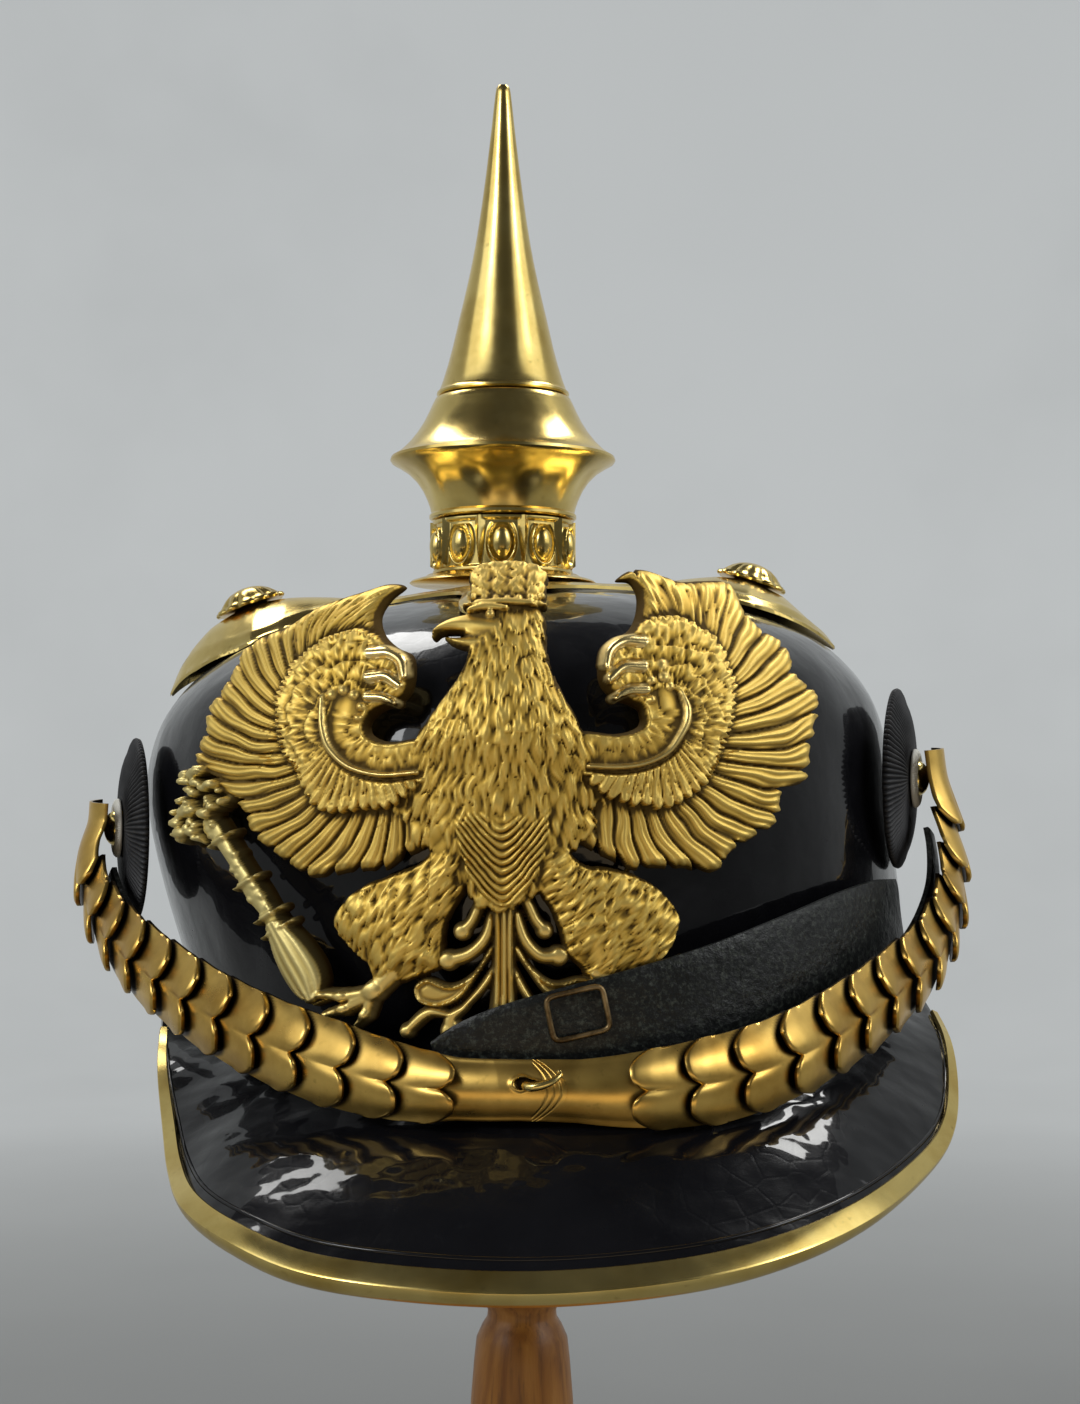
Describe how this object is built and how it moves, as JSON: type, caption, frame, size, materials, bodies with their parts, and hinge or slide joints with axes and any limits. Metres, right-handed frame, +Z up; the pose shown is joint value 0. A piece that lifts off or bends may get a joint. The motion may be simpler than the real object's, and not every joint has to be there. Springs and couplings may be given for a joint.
{
  "type": "spiked helmet on a turned wooden stand",
  "caption": "Black lacquered leather helmet with brass spike, cross base, gilt eagle plate, peaked visors and brass chinscales, held on a turned wooden stand.",
  "frame": {"origin": "centre of the stand's round foot, on the surface it stands on", "axes": "+Z up, along the stand and the spike; -Y the way the helmet's brow and eagle face; +X to the right of somebody looking at the eagle"},
  "size_m": [0.2135, 0.2894, 0.4684],
  "materials": {
    "black_leather": "glossy black lacquer with fine crackle",
    "brass": "polished",
    "scale_brass": "polished, warmer, tarnished between the scales",
    "gilt_brass": "matte gilt with dark patina in the grooves",
    "cockade_fabric": "black painted, radially fluted",
    "cockade_ring": "silvered white, fluted",
    "stained_wood": "warm brown stain, satin varnish"
  },
  "bodies": {
    "root": {"shell": "black_leather", "front_visor": "black_leather", "rear_visor": "black_leather", "chin_backing": "black_leather", "loose_strap": "black_leather", "visor_trim": "brass", "base_cross": "brass", "stud_front": "brass", "stud_left": "brass", "stud_right": "brass", "stud_rear": "brass", "spike_neck": "brass", "pearl_band": "brass", "spike_cone": "brass", "boss_left": "brass", "boss_right": "brass", "hook": "brass", "strap_buckle": "brass", "scale_left_01": "scale_brass", "scale_left_02": "scale_brass", "scale_left_03": "scale_brass", "scale_left_04": "scale_brass", "scale_left_05": "scale_brass", "scale_left_06": "scale_brass", "scale_left_07": "scale_brass", "scale_left_08": "scale_brass", "scale_left_09": "scale_brass", "scale_left_10": "scale_brass", "scale_left_11": "scale_brass", "scale_left_12": "scale_brass", "scale_right_01": "scale_brass", "scale_right_02": "scale_brass", "scale_right_03": "scale_brass", "scale_right_04": "scale_brass", "scale_right_05": "scale_brass", "scale_right_06": "scale_brass", "scale_right_07": "scale_brass", "scale_right_08": "scale_brass", "scale_right_09": "scale_brass", "scale_right_10": "scale_brass", "scale_right_11": "scale_brass", "scale_right_12": "scale_brass", "scale_right_13": "scale_brass", "centre_plate_left": "scale_brass", "centre_plate_right": "scale_brass", "eagle_plate": "gilt_brass", "cockade_left": "cockade_fabric", "cockade_right": "cockade_fabric", "cockade_ring_left": "cockade_ring", "cockade_ring_right": "cockade_ring", "stand_base": "stained_wood", "stand_post": "stained_wood", "stand_head": "stained_wood"}
  },
  "joints": []
}
